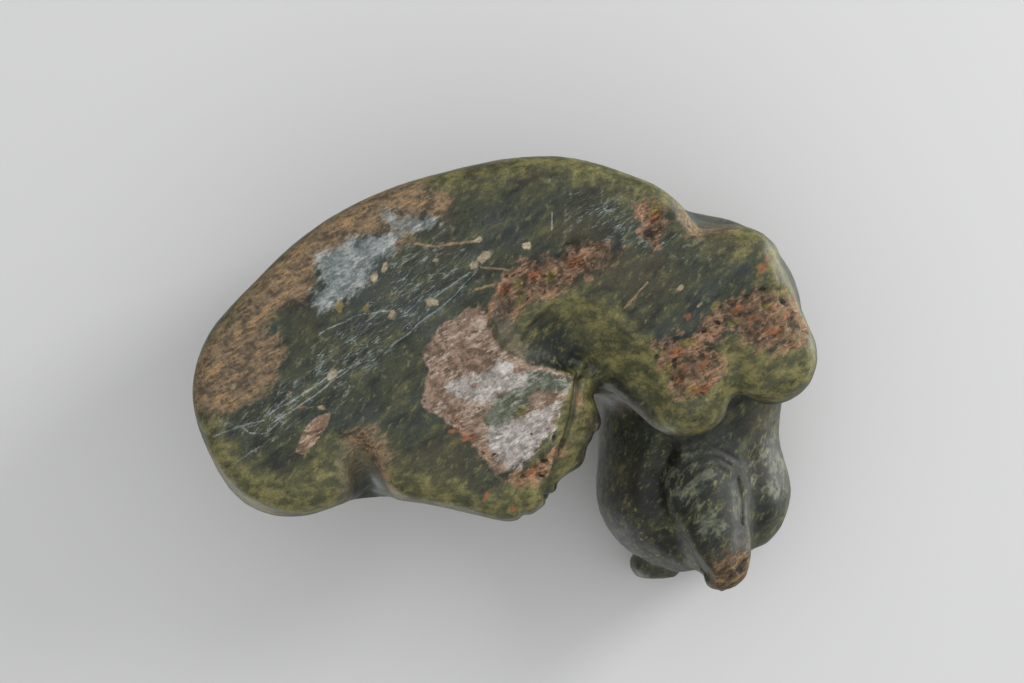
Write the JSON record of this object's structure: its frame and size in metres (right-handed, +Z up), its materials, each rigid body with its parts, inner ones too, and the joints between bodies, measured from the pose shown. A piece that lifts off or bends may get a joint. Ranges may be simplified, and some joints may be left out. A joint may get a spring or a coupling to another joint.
{
  "type": "soapstone bear carving",
  "caption": "Small bear carved from one piece of green soapstone, resting curled on its flat sanded underside with its head turned and bent to the belly side.",
  "frame": {"origin": "Under the middle of the bear, on the surface that it rests on: the middle of the bounding box in X and Y, at its lowest Z.", "axes": "+Z is up, away from the underside. X runs along the length of the curled body, with the rump at +X and the shoulders at -X. The belly side, the soles and the face are towards -Y and the outer flank towards +Y."},
  "size_m": [0.1222, 0.0866, 0.0548],
  "materials": {
    "soapstone": "satin"
  },
  "bodies": {
    "root": {"bear": "soapstone"}
  },
  "joints": []
}
